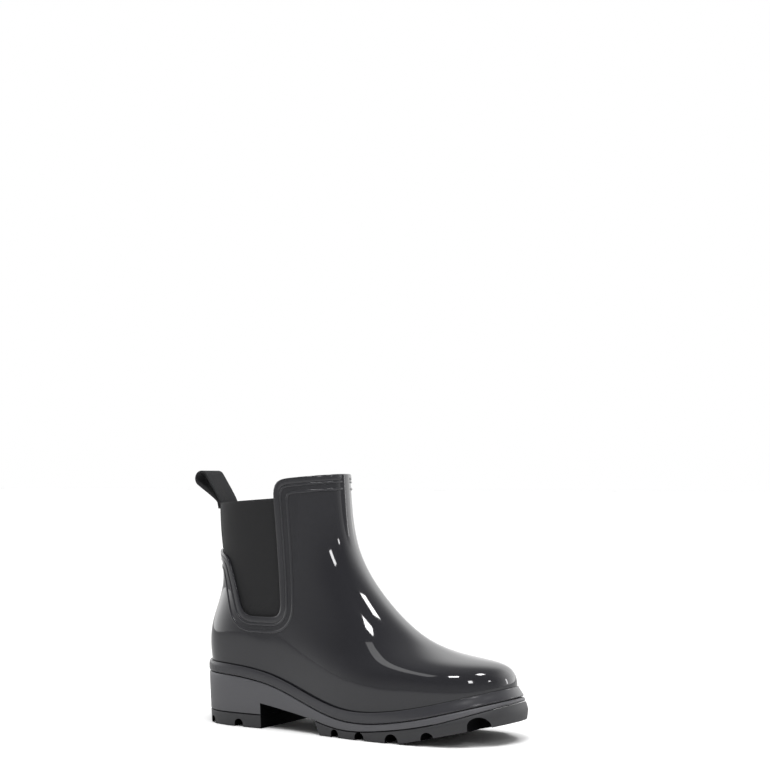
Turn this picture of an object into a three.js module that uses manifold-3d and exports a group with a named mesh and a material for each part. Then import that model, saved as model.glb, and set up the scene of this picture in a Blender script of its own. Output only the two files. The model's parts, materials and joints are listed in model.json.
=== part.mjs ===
// Ankle-height rain boot with elastic side panels, right foot.
// The toe points along +X, +Z is up, the outer (lateral) side of the foot is -Y and the
// inner (medial) side is +Y.  All lengths are millimetres.
import * as THREE from 'three';
import { mergeVertices } from 'three/addons/utils/BufferGeometryUtils.js';
import Module from 'manifold-3d';

const wasm = await Module();
wasm.setup();

// ------------------------------------------------------------------ driving dimensions
const FOOT_LENGTH = 260;       // moulded upper, back of the heel to the tip of the toe
const BALL_WIDTH = 89;         // moulded upper across the ball, at the welt
const COLLAR_HEIGHT = 194.5;   // front of the rim above the floor
const HEEL_SEAT = 48.5;        // top of the welt above the floor, at the back of the heel
const BALL_SEAT = 21.3;        // top of the welt above the floor, under the ball
const TOE_RISE = 20.2;         // climb of the welt from the ball to the tip of the toe
const TOE_SPRING = 15.2;       // height of the tread's underside at the tip of the toe
const TOE_SWING = 8;           // how far the toe swings to the medial side

const GAP = 0.3;               // clearance between pieces that touch on the real boot
const SHELL_WALL = 2.2;        // moulded upper
const LINING_WALL = 1.2;       // knitted lining, and the elastic panels in the same layer
const GORE_MARGIN = 8;         // how far the elastic runs under the edge of the upper
const LINING_TRIM = 1.5;       // lining stops this far short of the rim

const WELT_THICKNESS = 8.5;    // moulded band between upper and sole
const HEEL_LIFT_HEIGHT = 10;   // top lift under the heel block
const HEEL_BREAST_X = -69;     // front face of the heel block
const TREAD_BACK_X = -16;      // rear edge of the forefoot tread
const TREAD_BACK_SLANT = 4;    // that edge leans forward by this much at the floor
const WAIST_CLEARANCE = 18.7;  // underside of the waist above the floor, at the heel breast

const BOARD_THICKNESS = 2;     // fibre insole board
const FOAM_THICKNESS = 5;      // footbed foam
const COVER_THICKNESS = 1;     // footbed cloth cover
const FOOTBED_PLAY = 1;        // free edge between the footbed and the lining

const SHANK_WIDTH = 12;
const SHANK_THICKNESS = 1.6;
const SHANK_ENDS = [-100, 5];
const CORE_ENDS = [-120, -80];
const CORE_WIDTH = 38;
const CORE_FLOOR = 5;          // sole material left under the heel core

const GORE_BOTTOM = 85;        // lower edge of the elastic panel's window
const GORE_FRONT = [-50, -57.5];   // x of the window's front edge, at its foot and at the rim
const GORE_BACK = [-86, -103];     // x of the window's rear edge, at its foot and at the counter
const GORE_TOP = [171, 176];       // free edge of the elastic, at the back and at the front
const COUNTER_FRONT_Z = 130;   // top of the heel counter where the window's edge meets it
const COUNTER_BACK_Z = 137;    // top of the heel counter at the centre back
const RIM_CORNER_DROP = 4.5;   // rim at its rear corner, below the front of the rim
const WINDOW_RADIUS = 9;
const RIM_CORNER_RADIUS = 11;

const TAPE_WIDTH = 24;         // woven tape down the centre back
const TAPE_THICKNESS = 1.5;
const LOOP_ROOT_RADIUS = 2;    // sewn root of the pull loop, and its hinge
const LOOP_REACH = 25.5;       // hinge to the centre of the loop's round end
const LOOP_END_RADIUS = 6.4;
const LOOP_THICKNESS = 1.5;
const LOOP_LEAN = 46;          // degrees back from upright

// Notches in the tread's edge: [x, width, height].
const HEEL_NOTCHES = [[-119, 6, 5.5], [-90, 8, 6]];
const TREAD_NOTCHES = [[3, 7, 6], [26, 8, 6], [54, 11, 7], [83, 10, 5], [117, 13, 9]];
const NOTCH_RIB = 20;          // half width of the rib that the notches stop at

const AROUND = 54;             // facets round the last
const UPWARD = 18;             // facets up the last
const STATION = 12;            // step along the sole's curves

// ------------------------------------------------------------------ the last
// Each row is one line round the foot, from the feather edge up to the rim: its foremost
// point (x, z), its rearmost point (x, z), its half width in the heel and in the forefoot,
// the radius of its round heel end and of its round toe end, and how far it follows the
// sole's curve instead of lying flat.  The rows are drawn for the PATTERN sizes.
const PATTERN = { length: 260, width: 89, collar: 194.5, heelSeat: 48.5, toeSeat: 41.5 };
const LAST = [
  [125.5, 30.1, -130.5, 38.1, 31.5, 43.5, 30, 33, 1.00],
  [126.5, 39.0, -132.0, 48.5, 32.5, 44.5, 30, 33, 1.00],
  [126.0, 46.0, -133.5, 60.0, 34.5, 46.0, 31, 33, 0.95],
  [121.0, 54.5, -133.5, 71.0, 35.0, 46.0, 30, 31, 0.85],
  [104.5, 58.0, -131.5, 81.0, 34.5, 43.5, 29, 27, 0.70],
  [83.0, 60.5, -128.0, 91.0, 34.0, 39.5, 28, 23, 0.50],
  [60.0, 67.0, -124.5, 101.0, 33.5, 36.0, 27, 20, 0.30],
  [39.5, 80.5, -122.0, 112.0, 33.5, 33.5, 27, 18, 0.15],
  [21.0, 98.0, -123.0, 124.0, 34.0, 32.5, 27, 18, 0.05],
  [5.5, 116.5, -125.5, 137.0, 35.0, 33.0, 27, 19, 0],
  [-6.0, 137.0, -127.5, 151.0, 36.0, 34.0, 27, 22, 0],
  [-11.5, 163.0, -128.5, 168.0, 37.5, 35.5, 27, 24, 0],
  [-13.5, 197.0, -130.0, 197.0, 38.0, 37.0, 27, 25, 0],
];
const FRONT_X = 0, FRONT_Z = 1, BACK_X = 2, BACK_Z = 3;
const alongFoot = FOOT_LENGTH / PATTERN.length;
const acrossFoot = BALL_WIDTH / PATTERN.width;
const TOE_SEAT = BALL_SEAT + TOE_RISE;
const shaftGrade = (COLLAR_HEIGHT - HEEL_SEAT) / (PATTERN.collar - PATTERN.heelSeat);
const toeGrade = (COLLAR_HEIGHT - TOE_SEAT) / (PATTERN.collar - PATTERN.toeSeat);
const lerp = THREE.MathUtils.lerp;
const smooth = (value, from, to) => THREE.MathUtils.smoothstep(value, from, to);

function graded(row) {
  const [frontX, frontZ, backX, backZ, heelHalf, toeHalf, heelRadius, toeRadius, follow] = row;
  return [
    frontX * alongFoot, TOE_SEAT + (frontZ - PATTERN.toeSeat) * toeGrade,
    backX * alongFoot, HEEL_SEAT + (backZ - PATTERN.heelSeat) * shaftGrade,
    heelHalf * acrossFoot, toeHalf * acrossFoot,
    heelRadius * acrossFoot, toeRadius * acrossFoot, follow,
  ];
}
const ROWS = LAST.map(graded);
const FEATHER = ROWS[1];

// Smooth curve through points [x, z], straight beyond its ends.
function throughPoints(points) {
  const n = points.length;
  const bend = new Array(n).fill(0);
  for (let pass = 0; pass < 60; pass += 1) {
    for (let i = 1; i < n - 1; i += 1) {
      const before = points[i][0] - points[i - 1][0];
      const after = points[i + 1][0] - points[i][0];
      const turn = (points[i + 1][1] - points[i][1]) / after - (points[i][1] - points[i - 1][1]) / before;
      bend[i] = (6 * turn - before * bend[i - 1] - after * bend[i + 1]) / (2 * (before + after));
    }
  }
  return (x) => {
    let i = 0;
    while (i < n - 2 && x > points[i + 1][0]) i += 1;
    const span = points[i + 1][0] - points[i][0];
    const b = (x - points[i][0]) / span;
    const a = 1 - b;
    const curve = (a ** 3 - a) * bend[i] + (b ** 3 - b) * bend[i + 1];
    const inside = x >= points[0][0] && x <= points[n - 1][0];
    return a * points[i][1] + b * points[i + 1][1] + (inside ? curve * span * span / 6 : 0);
  };
}

// Top of the welt along the boot: [x, share of the heel's climb, share of the toe's climb].
const weltTop = throughPoints([
  [-137, 1, 0], [-95, 0.945, 0], [-60, 0.743, 0], [-25, 0.32, 0], [10, 0, 0],
  [45, 0, 0.025], [80, 0, 0.33], [110, 0, 0.70], [137, 0, 1.03],
].map(([x, heel, toe]) => [
  x * alongFoot, BALL_SEAT + heel * (HEEL_SEAT - BALL_SEAT) + toe * TOE_RISE,
]));
const seat = (x) => weltTop(x) - WELT_THICKNESS;
// Side wall of the sole between the welt and the tread: [x, height].
const sideWall = throughPoints([[-16, 8.6], [13, 6.9], [40, 5.6], [92, 5.6], [127, 3.6]]
  .map(([x, height]) => [x * alongFoot, height]));
const treadTop = (x) => seat(x) - sideWall(x);
// Underside of the tread: flat on the floor up to the ball, then rising to the toe.
const spring = throughPoints([[40, 0], [60, 0.02], [78, 0.27], [95, 0.52], [113, 0.78], [137, 1.1]]
  .map(([x, share]) => [x * alongFoot, share * TOE_SPRING]));
const underside = (x) => (x < 40 * alongFoot ? 0 : Math.max(0, spring(x)));

// A row of the last between the given ones: uniform cubic B-spline, t from 0 to 1.
function rowAt(t) {
  const last = ROWS.length - 1;
  const place = t * last;
  const i = Math.max(0, Math.min(last - 1, Math.floor(place)));
  const w = place - i;
  const weights = [(1 - w) ** 3 / 6, (3 * w ** 3 - 6 * w * w + 4) / 6,
    (-3 * w ** 3 + 3 * w * w + 3 * w + 1) / 6, w ** 3 / 6];
  const pick = (k) => {
    if (k < 0) return ROWS[0].map((value, c) => 2 * value - ROWS[1][c]);
    if (k > last) return ROWS[last].map((value, c) => 2 * value - ROWS[last - 1][c]);
    return ROWS[k];
  };
  const four = [pick(i - 1), pick(i), pick(i + 1), pick(i + 2)];
  return ROWS[0].map((_, c) => weights.reduce((sum, weight, k) => sum + weight * four[k][c], 0));
}

// Centre line of the foot, seen from above.
const centreLine = (x) => TOE_SWING * Math.max(0, (x / alongFoot + 20) / 150) ** 2;

// A point of the last's surface.  angle 0 is the centre back, PI the toe, with the lateral
// side between them, and the medial side from PI to 2 PI.
function lastPoint(angle, t) {
  const [frontX, frontZ, backX, backZ, heelHalf, toeHalf, heelRadius, toeRadius, follow] = rowAt(t);
  const c = (1 - Math.cos(angle)) / 2;
  const length = frontX - backX;
  const x = backX + length * c;
  const soleX = lerp(FEATHER[BACK_X], FEATHER[FRONT_X], c);
  const chord = lerp(weltTop(FEATHER[BACK_X]), weltTop(FEATHER[FRONT_X]), c);
  const z = lerp(backZ, frontZ, c) + follow * (weltTop(soleX) - chord);
  const side = Math.sin(angle) < 0 ? 1 : -1;
  const waist = (side > 0 ? 3 : 1) * follow * Math.exp(-(((c - 0.4) / 0.14) ** 2));
  const half = lerp(heelHalf, toeHalf, smooth(c, 0.25, 0.7)) - waist;
  const roundHeel = Math.tanh(2 * heelRadius * c * length / heelHalf ** 2);
  const roundToe = Math.tanh(2 * toeRadius * (1 - c) * length / toeHalf ** 2);
  return new THREE.Vector3(x, centreLine(x) + side * half * Math.sqrt(roundHeel * roundToe), z);
}

// The same point moved inwards by a depth, square to the surface.
function layerPoint(angle, t, depth) {
  const step = 0.002;
  const along = lastPoint(angle + step, t).sub(lastPoint(angle - step, t));
  const up = lastPoint(angle, t + step).sub(lastPoint(angle, t - step));
  const inwards = up.cross(along).normalize().multiplyScalar(depth);
  return lastPoint(angle, t).add(inwards);
}

// ------------------------------------------------------------------ solids
const toVertices = (ring) => ring.flatMap((p) => [p.x, p.y, p.z]);

// Closes rings of equal length into a solid.  rings run from the bottom up, each from the
// centre back round the lateral side; inner rings, if given, leave a wall between the two.
function ringSolid(rings, inner) {
  const n = rings[0].length;
  const all = inner ? [...rings, ...[...inner].reverse()] : rings;
  const triangles = [];
  const quad = (a, b, c, d) => triangles.push(a, b, c, a, c, d);
  const loops = inner ? all.length : all.length - 1;
  for (let i = 0; i < loops; i += 1) {
    const lower = i * n;
    const upper = ((i + 1) % all.length) * n;
    for (let j = 0; j < n; j += 1) {
      const k = (j + 1) % n;
      quad(lower + j, lower + k, upper + k, upper + j);
    }
  }
  if (!inner) {
    const top = (all.length - 1) * n;
    for (let j = 0; j < n / 2; j += 1) {
      const [a, b, c, d] = [j, j + 1, n - j - 1, (n - j) % n];
      if (c !== b) triangles.push(top + a, top + b, top + c, b, a, c);
      if (d !== a) triangles.push(top + a, top + c, top + d, c, a, d);
    }
  }
  const mesh = new wasm.Mesh({
    numProp: 3,
    vertProperties: Float32Array.from(all.flatMap(toVertices)),
    triVerts: Uint32Array.from(triangles),
  });
  return new wasm.Manifold(mesh);
}

const angles = Array.from({ length: AROUND }, (_, j) => 2 * Math.PI * j / AROUND);
// Closer together round the toe cap than up the straight shaft.
const levels = Array.from({ length: UPWARD + 1 }, (_, i) => {
  const share = i / UPWARD;
  return share * lerp(0.7, 1, share);
});
const layerRings = (depth) => levels.map((t) => angles.map((angle) => layerPoint(angle, t, depth)));
const insideLast = (depth) => ringSolid(layerRings(depth));
const layer = (outerDepth, wall) => ringSolid(layerRings(outerDepth), layerRings(outerDepth + wall));

// A side-view outline (x, z) run straight across the boot between two values of y.
const WIDE = 90;
function across(shape, fromY = -WIDE, toY = WIDE) {
  const geometry = new THREE.ExtrudeGeometry(shape, {
    depth: toY - fromY, bevelEnabled: false, curveSegments: 5,
  });
  geometry.rotateX(Math.PI / 2);
  geometry.translate(0, toY, 0);
  geometry.deleteAttribute('normal');
  geometry.deleteAttribute('uv');
  const merged = mergeVertices(geometry, 1e-4);
  const mesh = new wasm.Mesh({
    numProp: 3,
    vertProperties: Float32Array.from(merged.attributes.position.array),
    triVerts: Uint32Array.from(merged.index.array),
  });
  return new wasm.Manifold(mesh);
}

// The outline between two curves of x.
const FAR = 190;
function between(lower, upper, fromX = -FAR, toX = FAR) {
  const count = Math.max(1, Math.ceil((toX - fromX) / STATION));
  const stations = Array.from({ length: count + 1 }, (_, i) => lerp(fromX, toX, i / count));
  const points = [
    ...stations.map((x) => new THREE.Vector2(x, lower(x))),
    ...stations.reverse().map((x) => new THREE.Vector2(x, upper(x))),
  ];
  return new THREE.Shape(points);
}
const LOW = () => -60;
const HIGH = () => 330;
const box = (x0, x1, y0, y1, z0, z1) => across(between(() => z0, () => z1, x0, x1), y0, y1);

// An outline with its corners rounded: points [x, z, radius].
function rounded(points) {
  const shape = new THREE.Shape();
  const n = points.length;
  points.forEach(([x, z, radius = 0], i) => {
    const corner = new THREE.Vector2(x, z);
    const back = new THREE.Vector2(...points[(i + n - 1) % n]).sub(corner).setLength(radius).add(corner);
    const ahead = new THREE.Vector2(...points[(i + 1) % n]).sub(corner).setLength(radius).add(corner);
    if (i === 0) shape.moveTo(back.x, back.y);
    else shape.lineTo(back.x, back.y);
    if (radius > 0) shape.quadraticCurveTo(x, z, ahead.x, ahead.y);
  });
  shape.closePath();
  return shape;
}

// The same outline, drawn counterclockwise, with every edge moved outwards.
function grown(points, distance) {
  const n = points.length;
  const normal = (i) => {
    const [ax, az] = points[i];
    const [bx, bz] = points[(i + 1) % n];
    return new THREE.Vector2(bz - az, ax - bx).normalize();
  };
  return points.map(([x, z, radius = 0], i) => {
    const before = normal((i + n - 1) % n);
    const after = normal(i);
    const reach = distance / (1 + before.dot(after));
    return [x + (before.x + after.x) * reach, z + (before.y + after.y) * reach, radius];
  });
}

// ------------------------------------------------------------------ window for the elastic
// The moulded upper is open above the counter and behind the front panel.
const RIM_CORNER_Z = COLLAR_HEIGHT - RIM_CORNER_DROP;
const counterSlope = (COUNTER_BACK_Z - COUNTER_FRONT_Z) / (GORE_BACK[1] - ROWS.at(-1)[BACK_X]);
const counterLine = (x) => COUNTER_FRONT_Z + (GORE_BACK[1] - x) * counterSlope;
const rimLine = (x) => lerp(RIM_CORNER_Z, COLLAR_HEIGHT, (x - GORE_FRONT[1]) / (ROWS.at(-1)[FRONT_X] - GORE_FRONT[1]));
const windowFoot = [
  [-FAR, counterLine(-FAR)],
  [GORE_BACK[1], COUNTER_FRONT_Z, 6],
  [GORE_BACK[0], GORE_BOTTOM, WINDOW_RADIUS],
  [GORE_FRONT[0], GORE_BOTTOM, WINDOW_RADIUS],
];
const WINDOW = [
  ...windowFoot,
  [GORE_FRONT[1], RIM_CORNER_Z, RIM_CORNER_RADIUS],
  [FAR, rimLine(FAR)],
  [FAR, HIGH()],
  [-FAR, HIGH()],
];
const frontEdgeAt = (z) => lerp(...GORE_FRONT, (z - GORE_BOTTOM) / (RIM_CORNER_Z - GORE_BOTTOM));
const ELASTIC = [...windowFoot, [frontEdgeAt(HIGH()), HIGH()], [-FAR, HIGH()]];
const goreTop = (x) => lerp(...GORE_TOP, (x - ROWS.at(-1)[BACK_X]) / (GORE_FRONT[1] - ROWS.at(-1)[BACK_X]));

// ------------------------------------------------------------------ upper, lining, elastic
const LINING_DEPTH = SHELL_WALL + GAP;
const boardTop = (x) => seat(x) + GAP + BOARD_THICKNESS;
const LINING_SEAM_X = -68;     // where the vamp lining meets the heel lining

function upperShell() {
  return layer(0, SHELL_WALL)
    .subtract(across(between(LOW, (x) => seat(x) + GAP)))
    .subtract(across(rounded(WINDOW)));
}

function wholeLining() {
  const elastic = across(rounded(grown(ELASTIC, GORE_MARGIN + GAP)))
    .intersect(across(between(LOW, (x) => goreTop(x) + GAP)));
  return layer(LINING_DEPTH, LINING_WALL)
    .subtract(across(between(LOW, (x) => boardTop(x) + GAP)))
    .subtract(across(rounded(grown(WINDOW, LINING_TRIM))))
    .subtract(elastic);
}
const vampLining = () => wholeLining().subtract(box(-FAR, LINING_SEAM_X + GAP / 2, -WIDE, WIDE, LOW(), HIGH()));
const heelLining = () => wholeLining().subtract(box(LINING_SEAM_X - GAP / 2, FAR, -WIDE, WIDE, LOW(), HIGH()));

function gore(side) {
  const half = side > 0 ? box(-FAR, FAR, GAP / 2, WIDE, LOW(), HIGH()) : box(-FAR, FAR, -WIDE, -GAP / 2, LOW(), HIGH());
  return layer(LINING_DEPTH, LINING_WALL)
    .intersect(across(rounded(grown(ELASTIC, GORE_MARGIN))))
    .intersect(across(between(LOW, goreTop)))
    .intersect(half);
}

// ------------------------------------------------------------------ back tape and pull loop
const rearHalf = box(-FAR, GORE_BACK[0], -TAPE_WIDTH / 2, TAPE_WIDTH / 2, LOW(), HIGH());
const TAPE_TOP = GORE_TOP[0];
function backTape() {
  return layer(LINING_DEPTH - GAP - TAPE_THICKNESS, TAPE_THICKNESS)
    .intersect(rearHalf)
    .intersect(across(rounded(grown(WINDOW, -GAP))))
    .intersect(across(between(LOW, () => TAPE_TOP)));
}
function innerTape() {
  return layer(LINING_DEPTH + LINING_WALL + GAP, TAPE_THICKNESS)
    .intersect(rearHalf)
    .intersect(across(between(() => COUNTER_BACK_Z, () => TAPE_TOP)));
}

// x of the last's surface at the centre back, at a height.
function backAt(z) {
  let low = 0;
  let high = 1;
  for (let i = 0; i < 40; i += 1) {
    const middle = (low + high) / 2;
    if (lastPoint(0, middle).z < z) low = middle;
    else high = middle;
  }
  return lastPoint(0, low).x;
}
const LOOP_HINGE_Z = TAPE_TOP + LOOP_ROOT_RADIUS + 1.5 * GAP;
const LOOP_HINGE_X = backAt(LOOP_HINGE_Z) + LINING_DEPTH + LINING_WALL / 2;

// Teardrop round the line from the hinge: a small circle joined to a larger one.
function teardrop(path, start, startRadius, endRadius) {
  const slant = Math.asin((endRadius - startRadius) / (LOOP_REACH - start));
  const from = Math.PI / 2 + slant;
  path.absarc(start, 0, startRadius, from, 2 * Math.PI - from, false);
  path.absarc(LOOP_REACH, 0, endRadius, -from, from, false);
  path.closePath();
  return path;
}
function pullLoop() {
  const band = teardrop(new THREE.Shape(), 0, LOOP_ROOT_RADIUS, LOOP_END_RADIUS);
  const eyeStart = 3 * LOOP_ROOT_RADIUS;
  const eye = teardrop(new THREE.Path(), eyeStart, LOOP_ROOT_RADIUS / 2, LOOP_END_RADIUS - LOOP_THICKNESS);
  band.holes.push(eye);
  return across(band, -TAPE_WIDTH / 2 + 0.5, TAPE_WIDTH / 2 - 0.5)
    .rotate([0, -90 - LOOP_LEAN, 0])
    .translate([LOOP_HINGE_X, 0, LOOP_HINGE_Z]);
}

// ------------------------------------------------------------------ welt and sole
// Outline of the sole at four heights between the floor and the welt: [height share,
// overhang at the heel, overhang at the toe], measured from the upper's feather edge.
const OVERHANG = [[-0.15, -0.4, 6.6], [0.3, 1.0, 8.0], [0.7, 2.0, 4.6], [1.15, 2.6, 1.5]];
function soleForm() {
  const t = 1 / (LAST.length - 1);
  return ringSolid(OVERHANG.map(([share, heel, toe]) => angles.map((angle) => {
    const c = (1 - Math.cos(angle)) / 2;
    const point = layerPoint(angle, t, -lerp(heel, toe, smooth(c, 0.62, 1)));
    point.z = lerp(underside(point.x), weltTop(point.x), share);
    return point;
  })));
}

function weltBand() {
  return soleForm()
    .intersect(across(between((x) => seat(x) + GAP / 2, weltTop)))
    .subtract(insideLast(-GAP));
}

// Arched notches cut in from both edges of a tread, up to a rib along its middle.
function notches(list) {
  const cutters = list.flatMap(([x, width, height]) => {
    const shape = new THREE.Shape();
    const foot = underside(x);
    const radius = width / 2;
    shape.moveTo(x - radius, foot - 10);
    shape.lineTo(x + radius, foot - 10);
    shape.lineTo(x + radius, foot + height - radius);
    shape.absarc(x, foot + height - radius, radius, 0, Math.PI, false);
    shape.closePath();
    const middle = centreLine(x);
    return [across(shape, middle + NOTCH_RIB, WIDE), across(shape, -WIDE, middle - NOTCH_RIB)];
  });
  return cutters.reduce((all, cutter) => all.add(cutter));
}

const HEEL_TOP = HEEL_LIFT_HEIGHT + GAP / 2;
const waistUnder = (x) => lerp(WAIST_CLEARANCE, treadTop(TREAD_BACK_X) + GAP, (x - HEEL_BREAST_X) / (TREAD_BACK_X - HEEL_BREAST_X));
const shankTop = (x) => seat(x) - GAP;
const shankSolid = (play) => across(
  between((x) => shankTop(x) - SHANK_THICKNESS - play, (x) => shankTop(x) + play, SHANK_ENDS[0] - play, SHANK_ENDS[1] + play),
  -SHANK_WIDTH / 2 - play, SHANK_WIDTH / 2 + play,
);
const coreSolid = (play) => across(
  between(() => HEEL_TOP + CORE_FLOOR - play, (x) => seat(x) - GAP + play, CORE_ENDS[0] - play, CORE_ENDS[1] + play),
  -CORE_WIDTH / 2 - play, CORE_WIDTH / 2 + play,
);

function soleUnit() {
  return soleForm()
    .intersect(across(between(LOW, seat)))
    .subtract(box(-FAR, HEEL_BREAST_X, -WIDE, WIDE, LOW(), HEEL_TOP))
    .subtract(across(between(LOW, waistUnder, HEEL_BREAST_X, TREAD_BACK_X)))
    .subtract(across(between(LOW, (x) => treadTop(x) + GAP, TREAD_BACK_X, FAR)))
    .subtract(coreSolid(GAP))
    .subtract(shankSolid(GAP));
}
function forefootTread() {
  const back = new THREE.Shape([[TREAD_BACK_X - FAR, LOW()], [TREAD_BACK_X + TREAD_BACK_SLANT, LOW()],
    [TREAD_BACK_X + TREAD_BACK_SLANT, 0], [TREAD_BACK_X, treadTop(TREAD_BACK_X)], [TREAD_BACK_X, HIGH()],
    [TREAD_BACK_X - FAR, HIGH()]].map((p) => new THREE.Vector2(...p)));
  return soleForm()
    .intersect(across(between(underside, treadTop)))
    .subtract(across(back))
    .subtract(notches(TREAD_NOTCHES));
}
function heelTopLift() {
  return soleForm()
    .intersect(box(-FAR, HEEL_BREAST_X, -WIDE, WIDE, 0, HEEL_LIFT_HEIGHT - GAP / 2))
    .subtract(notches(HEEL_NOTCHES));
}
const shank = () => shankSolid(0);
const heelCore = () => coreSolid(0).subtract(shankSolid(GAP));

// ------------------------------------------------------------------ insole and footbed
const foamTop = (x) => boardTop(x) + GAP + FOAM_THICKNESS;
function insoleBoard() {
  return insideLast(LINING_DEPTH).intersect(across(between((x) => seat(x) + GAP, boardTop)));
}
const footbedForm = () => insideLast(LINING_DEPTH + LINING_WALL + FOOTBED_PLAY);
function footbedFoam() {
  return footbedForm().intersect(across(between((x) => boardTop(x) + GAP, foamTop)));
}
function footbedCover() {
  return footbedForm().intersect(across(between((x) => foamTop(x) + GAP, (x) => foamTop(x) + GAP + COVER_THICKNESS)));
}

// ------------------------------------------------------------------ the boot
function piece(name, solid, color, roughness, metalness = 0) {
  const { vertProperties, triVerts } = solid.getMesh();
  const geometry = new THREE.BufferGeometry();
  geometry.setAttribute('position', new THREE.BufferAttribute(new Float32Array(vertProperties), 3));
  geometry.setIndex(new THREE.BufferAttribute(new Uint32Array(triVerts), 1));
  geometry.computeVertexNormals();
  const mesh = new THREE.Mesh(geometry, new THREE.MeshStandardMaterial({ color, roughness, metalness }));
  mesh.name = name;
  return mesh;
}

const boot = new THREE.Group();
boot.add(
  piece('upper_shell', upperShell(), 0x2e2e31, 0.12),
  piece('welt_band', weltBand(), 0x3d3d40, 0.3),
  piece('sole_unit', soleUnit(), 0x505053, 0.5),
  piece('forefoot_tread', forefootTread(), 0x4a4a4d, 0.55),
  piece('heel_top_lift', heelTopLift(), 0x4a4a4d, 0.55),
  piece('heel_core', heelCore(), 0xb9b2a4, 0.7),
  piece('shank', shank(), 0x9a9ca0, 0.35, 1),
  piece('insole_board', insoleBoard(), 0x8c7457, 0.85),
  piece('footbed_foam', footbedFoam(), 0x6e6e70, 0.9),
  piece('footbed_cover', footbedCover(), 0x3a3a3c, 0.95),
  piece('vamp_lining', vampLining(), 0x5a5a5c, 0.95),
  piece('heel_lining', heelLining(), 0x5a5a5c, 0.95),
  piece('gore_lateral', gore(-1), 0x2b2b2c, 0.9),
  piece('gore_medial', gore(1), 0x2b2b2c, 0.9),
  piece('back_tape', backTape(), 0x1c1c1d, 0.9),
  piece('inner_tape', innerTape(), 0x1c1c1d, 0.9),
  piece('pull_loop', pullLoop(), 0x1c1c1d, 0.9),
);

// The origin is the middle of the boot's footprint, on the floor.
const extent = new THREE.Box3().setFromObject(boot);
const middle = extent.getCenter(new THREE.Vector3());
boot.position.set(-middle.x, -middle.y, -extent.min.z);

export default boot;
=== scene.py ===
# Ankle rain boot with elastic side panels, right foot, standing on a pale studio floor.
# The boot is put together here in the order it is made: the form it is moulded on, the
# glossy upper, the welt, the sole, the heel, the elastic, the tape, the lining and the footbed.
import json
import math

import bmesh
import bpy
import numpy as np
from mathutils import Matrix, Vector


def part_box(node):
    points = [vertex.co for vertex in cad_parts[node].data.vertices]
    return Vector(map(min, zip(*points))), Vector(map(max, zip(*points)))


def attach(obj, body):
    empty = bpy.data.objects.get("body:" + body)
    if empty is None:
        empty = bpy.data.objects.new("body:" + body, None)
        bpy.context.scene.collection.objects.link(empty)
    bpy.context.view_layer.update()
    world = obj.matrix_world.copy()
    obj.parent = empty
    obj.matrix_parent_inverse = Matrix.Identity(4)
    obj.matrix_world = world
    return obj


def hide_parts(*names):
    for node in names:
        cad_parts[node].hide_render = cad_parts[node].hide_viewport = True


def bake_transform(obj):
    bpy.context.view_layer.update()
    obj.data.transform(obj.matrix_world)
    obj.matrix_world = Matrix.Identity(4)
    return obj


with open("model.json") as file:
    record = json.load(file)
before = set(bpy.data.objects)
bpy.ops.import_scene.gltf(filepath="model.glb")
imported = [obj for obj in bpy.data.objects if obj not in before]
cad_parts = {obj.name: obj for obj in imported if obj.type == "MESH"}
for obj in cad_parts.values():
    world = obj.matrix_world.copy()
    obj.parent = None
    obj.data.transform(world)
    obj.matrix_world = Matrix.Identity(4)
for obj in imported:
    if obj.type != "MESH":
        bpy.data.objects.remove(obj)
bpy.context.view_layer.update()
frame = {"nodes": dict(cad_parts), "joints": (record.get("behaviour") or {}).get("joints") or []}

# ---------------------------------------------------------------- camera and studio
# A long lens a little above the rim looks at the outer side of the boot from in front.
MM = 0.001
core_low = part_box("heel_core")[0]
loop_low, loop_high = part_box("pull_loop")
CORE_BACK = -120  # the heel core's rear face, from the middle of the foot
ORIGIN = Vector((core_low.x - CORE_BACK * MM, (loop_low.y + loop_high.y) / 2, 0))

CAMERA_AZIMUTH = math.radians(32)
CAMERA_DISTANCE = 1.25
CAMERA_HEIGHT = 0.1915
CAMERA_TURN = math.radians(0.88)
CAMERA_TILT = math.radians(3.276)
CAMERA_LENS = 75.97


def add_camera():
    place = ORIGIN + Vector((
        CAMERA_DISTANCE * math.sin(CAMERA_AZIMUTH),
        -CAMERA_DISTANCE * math.cos(CAMERA_AZIMUTH),
        CAMERA_HEIGHT,
    ))
    heading = CAMERA_AZIMUTH - CAMERA_TURN
    turn = Matrix.Rotation(heading, 4, "Z") @ Matrix.Rotation(math.pi / 2 + CAMERA_TILT, 4, "X")
    camera = bpy.data.objects.new("camera", bpy.data.cameras.new("camera"))
    camera.matrix_world = Matrix.Translation(place) @ turn
    camera.data.lens = CAMERA_LENS
    camera.data.sensor_width = 36
    bpy.context.scene.collection.objects.link(camera)
    bpy.context.scene.camera = camera


add_camera()


def colour(hex_code):
    """An sRGB hex colour as linear RGBA."""
    parts = [int(hex_code[i:i + 2], 16) / 255 for i in (1, 3, 5)]
    return [p / 12.92 if p <= 0.04045 else ((p + 0.055) / 1.055) ** 2.4 for p in parts] + [1]


def node(tree, kind, settings=None, **inputs):
    """Adds a node. A setting is an attribute; an input, by name or as i and its number, is a
    value, another node's output, or a node whose first output is meant."""
    made = tree.nodes.new(kind)
    for key, value in (settings or {}).items():
        setattr(made, key, value)
    for key, value in inputs.items():
        numbered = key[0] == "i" and key[1:].isdigit()
        socket = made.inputs[int(key[1:]) if numbered else key.replace("_", " ")]
        if isinstance(value, bpy.types.Node):
            value = value.outputs[0]
        if isinstance(value, bpy.types.NodeSocket):
            tree.links.new(value, socket)
        else:
            socket.default_value = value
    return made


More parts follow.
